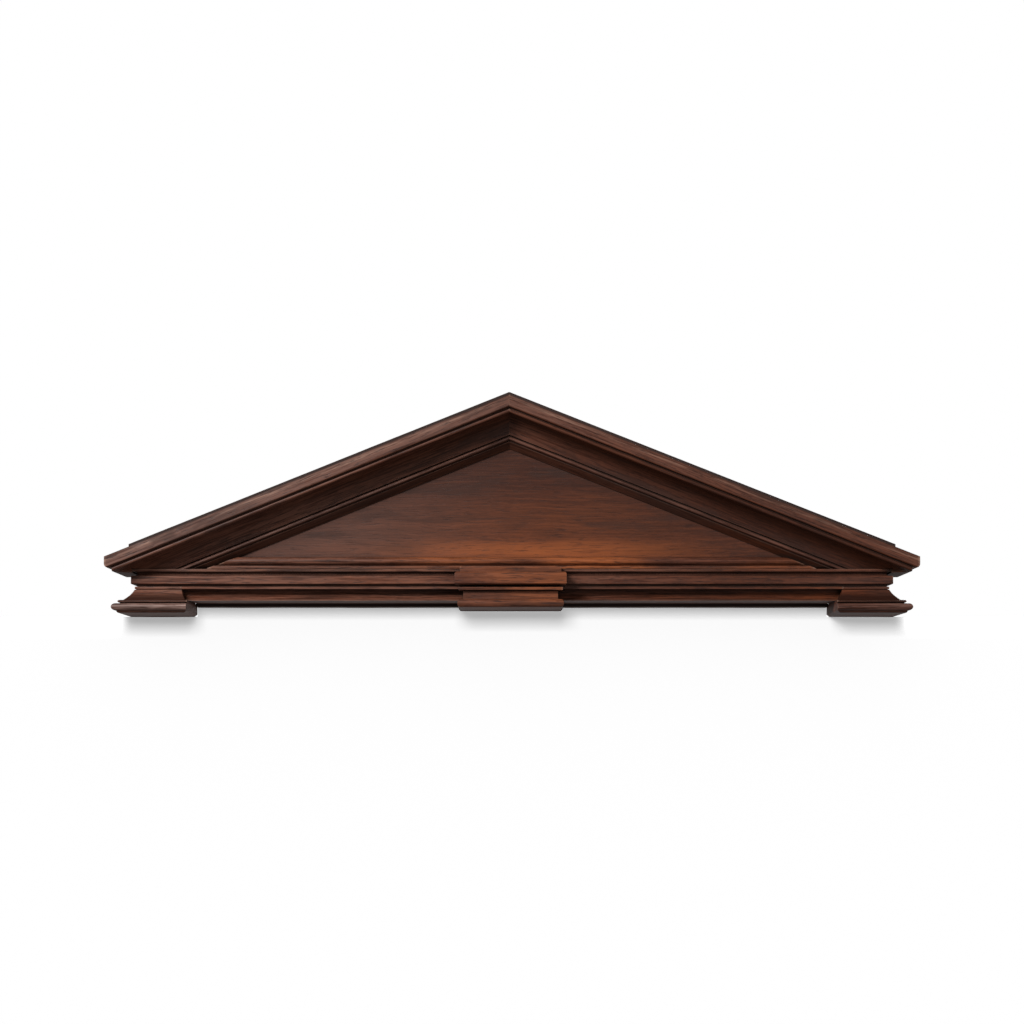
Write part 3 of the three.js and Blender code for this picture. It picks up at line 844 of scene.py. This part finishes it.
# %% World and lamps of the wood
WORLD_LIGHT = 0.19
MIDDLE = Vector((0.0, 0.0, 0.14))
world = bpy.data.worlds.new("studio")
bpy.context.scene.world = world
world.use_nodes = True
nodes = world.node_tree.nodes
links = world.node_tree.links
background = nodes["Background"]
background.inputs["Color"].default_value = (1, 1, 1, 1)
path = nodes.new("ShaderNodeLightPath")
strength = nodes.new("ShaderNodeMapRange")
strength.inputs["To Min"].default_value = WORLD_LIGHT
strength.inputs["To Max"].default_value = 1.0
links.new(path.outputs["Is Camera Ray"], strength.inputs["Value"])
links.new(strength.outputs["Result"], background.inputs["Strength"])
bpy.context.scene.view_settings.view_transform = "Standard"


def area_light(name, place, size, watts):
    data = bpy.data.lights.new(name, "AREA")
    data.shape = "RECTANGLE"
    data.size, data.size_y = size
    data.energy = watts
    lamp = in_scene(name, data)
    lamp.location = place
    lamp.rotation_euler = (MIDDLE - Vector(place)).to_track_quat("-Z", "Y").to_euler()
    return lamp


key = area_light("key", (-1.9, -2.4, 1.7), (1.3, 1.0), 140)
fill = area_light("fill", (1.9, -2.7, 0.35), (1.6, 1.4), 13)
back_light = area_light("back_light", (0.9, 2.6, 1.4), (1.6, 1.2), 60)
wood_lamps = (key, fill, back_light)
print("watts on the wood", {lamp.name: lamp.data.energy for lamp in wood_lamps})

# %% [markdown]
# The wall is a sheet that shows only the shadow that falls on it. In the photograph that
# shadow is short and soft and lies below the pediment alone. The lamps of the wood would cast
# a longer one, so the wall has two lamps of its own: a wide one a little above the camera
# casts the shadow, and one at the camera, whose own shadow lies hidden behind the wood, thins
# it. The lamps that model the wood pass the wall by.
#
# The sheet would hide the wood in views from behind. It therefore stops at the feet, rises only
# in the gap between them, and its shadow fades out towards the corners beyond the feet.

# %% Wall sheet
REACH = 3.0
BEHIND_GAP = 0.001
CORNER_FADE = (-0.01, 0.05)
TOP_FADE = (-0.035, -0.002)
WALL_GREY = (0.25, 0.25, 0.25, 1)
behind = high.y + BEHIND_GAP
gap_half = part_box("back_rail")[1][0]
gap_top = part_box("back_rail")[0][2]
foot_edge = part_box("foot_right")[1][0]
outline = [(-REACH, -REACH), (REACH, -REACH), (REACH, 0.0), (gap_half, 0.0)]
outline += [(gap_half, gap_top), (-gap_half, gap_top), (-gap_half, 0.0), (-REACH, 0.0)]
wall_mesh = bpy.data.meshes.new("wall")
wall_mesh.from_pydata([(x, behind, z) for x, z in outline], [], [tuple(range(len(outline)))])
wall_sheet = in_scene("wall_sheet", wall_mesh)
wall_sheet.is_shadow_catcher = True

wall_paint = Paint("wall_white")
spot = wall_paint.node("TexCoord", {}, {}, "Object")
beyond = [foot_edge + fade for fade in CORNER_FADE]
aside = wall_paint.axis(spot, "X").math("ABSOLUTE").step(*beyond)
raised = wall_paint.axis(spot, "Z").step(*TOP_FADE)
solid = wall_paint.node("BsdfDiffuse", {}, {"Color": WALL_GREY})
clear = wall_paint.node("BsdfTransparent", {}, {})
blend = wall_paint.node("MixShader", {}, [aside * raised, solid, clear])
wall_paint.feed(wall_paint.tree.nodes["Material Output"].inputs["Surface"], blend)
wall_mesh.materials.append(wall_paint.material)
print("the sheet stands", BEHIND_GAP * 1000, "mm behind the wood")

# %% Lamps of the wall
wall_lamp = area_light("wall_lamp", (-0.40, -4.2, 0.70), (1.2, 0.9), 150)
wall_fill = area_light("wall_fill", camera.location, (0.3, 0.3), 56)
wall_only = bpy.data.collections.new("lit by the wall lamps")
wall_only.objects.link(wall_sheet)
wood_only = bpy.data.collections.new("lit by the lamps of the wood")
for piece in bpy.context.scene.collection.objects:
    if piece.name.endswith("_wood"):
        wood_only.objects.link(piece)
for lamps, lit in (((wall_lamp, wall_fill), wall_only), (wood_lamps, wood_only)):
    for lamp in lamps:
        lamp.light_linking.receiver_collection = lit
